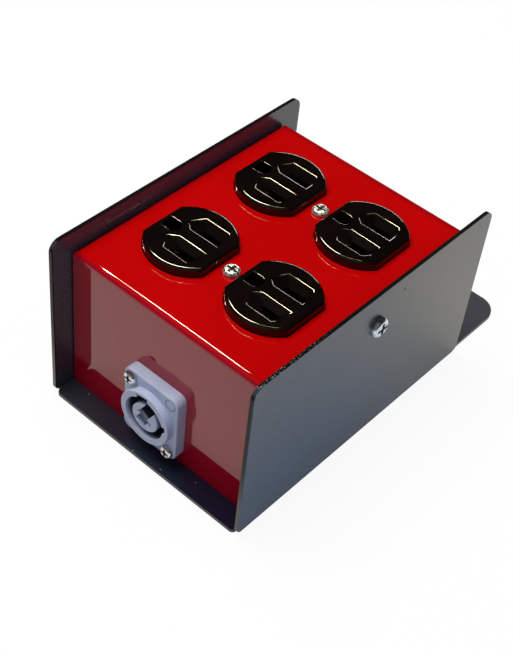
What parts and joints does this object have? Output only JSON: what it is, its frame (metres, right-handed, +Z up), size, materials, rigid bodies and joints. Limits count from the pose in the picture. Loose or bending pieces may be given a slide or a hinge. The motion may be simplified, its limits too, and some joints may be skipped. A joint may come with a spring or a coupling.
{
  "type": "power distribution box",
  "caption": "Portable power box: bent red cover with duplex outlets on top and round panel connectors at its ends, screwed into a black U-shaped sheet cradle with an end tab.",
  "frame": {"origin": "middle of the cradle's underside, under the middle of the cover", "axes": "+Z up, -Y toward the link connector, +Y toward the inlet connector and the tab, +X toward the right side wall"},
  "size_m": [0.0988, 0.1632, 0.0745],
  "materials": {
    "black_paint": "semi-gloss powder coat",
    "red_paint": "gloss powder coat",
    "black_nylon": "polished moulding",
    "dark_moulding": "moulded",
    "grey_plastic": "moulded, fine satin",
    "blue_plastic": "moulded, fine satin",
    "bright_zinc": "bright zinc plate",
    "plated_steel": "zinc plate",
    "brass": "bare",
    "nickel": "nickel plate",
    "green_paint": "green passivated",
    "black_sleeve": "extruded insulation",
    "white_sleeve": "extruded insulation",
    "green_sleeve": "extruded insulation"
  },
  "bodies": {
    "box": {"cradle": "black_paint", "top_cover": "red_paint", "clinch_nuts": "plated_steel", "front_outlet_face": "black_nylon", "front_outlet_body": "dark_moulding", "front_outlet_strap": "plated_steel", "front_outlet_bond_screw": "green_paint", "front_outlet_neutral_contacts": "brass", "front_outlet_neutral_terminals": "nickel", "front_outlet_line_contacts": "brass", "front_outlet_line_terminals": "brass", "front_outlet_ground_clips": "brass", "rear_outlet_face": "black_nylon", "rear_outlet_body": "dark_moulding", "rear_outlet_strap": "plated_steel", "rear_outlet_bond_screw": "green_paint", "rear_outlet_neutral_contacts": "brass", "rear_outlet_neutral_terminals": "nickel", "rear_outlet_line_contacts": "brass", "rear_outlet_line_terminals": "brass", "rear_outlet_ground_clips": "brass", "link_shell": "grey_plastic", "link_insert": "grey_plastic", "link_contacts": "nickel", "link_push_on_terminals": "brass", "link_nuts": "plated_steel", "inlet_shell": "blue_plastic", "inlet_insert": "blue_plastic", "inlet_contacts": "nickel", "inlet_push_on_terminals": "brass", "inlet_nuts": "plated_steel", "neutral_wires": "white_sleeve", "line_wires": "black_sleeve", "ground_wires": "green_sleeve"},
    "side_screw_left": {"side_screw_left": "bright_zinc"},
    "side_screw_right": {"side_screw_right": "bright_zinc"},
    "front_outlet_screw": {"front_outlet_screw": "bright_zinc"},
    "rear_outlet_screw": {"rear_outlet_screw": "bright_zinc"},
    "link_screw_upper": {"link_screw_upper": "bright_zinc"},
    "link_screw_lower": {"link_screw_lower": "bright_zinc"},
    "inlet_screw_upper": {"inlet_screw_upper": "bright_zinc"},
    "inlet_screw_lower": {"inlet_screw_lower": "bright_zinc"}
  },
  "joints": [
    {"name": "side_screw_left_turn", "type": "hinge", "parent": "box", "child": "side_screw_left", "pos_m": [-0.047, 0, 0.059], "axis": [-1, 0, 0], "continuous": true},
    {"name": "side_screw_right_turn", "type": "hinge", "parent": "box", "child": "side_screw_right", "pos_m": [0.047, 0, 0.059], "axis": [1, 0, 0], "continuous": true},
    {"name": "front_outlet_screw_turn", "type": "hinge", "parent": "box", "child": "front_outlet_screw", "pos_m": [0, -0.0238, 0.0671], "axis": [0, 0, 1], "continuous": true},
    {"name": "rear_outlet_screw_turn", "type": "hinge", "parent": "box", "child": "rear_outlet_screw", "pos_m": [0, 0.0238, 0.0671], "axis": [0, 0, 1], "continuous": true},
    {"name": "link_screw_upper_turn", "type": "hinge", "parent": "box", "child": "link_screw_upper", "pos_m": [-0.0105, -0.0605, 0.0335], "axis": [0, -1, 0], "continuous": true},
    {"name": "link_screw_lower_turn", "type": "hinge", "parent": "box", "child": "link_screw_lower", "pos_m": [0.0085, -0.0605, 0.0095], "axis": [0, -1, 0], "continuous": true},
    {"name": "inlet_screw_upper_turn", "type": "hinge", "parent": "box", "child": "inlet_screw_upper", "pos_m": [0.0105, 0.0605, 0.0335], "axis": [0, 1, 0], "continuous": true},
    {"name": "inlet_screw_lower_turn", "type": "hinge", "parent": "box", "child": "inlet_screw_lower", "pos_m": [-0.0085, 0.0605, 0.0095], "axis": [0, 1, 0], "continuous": true}
  ]
}
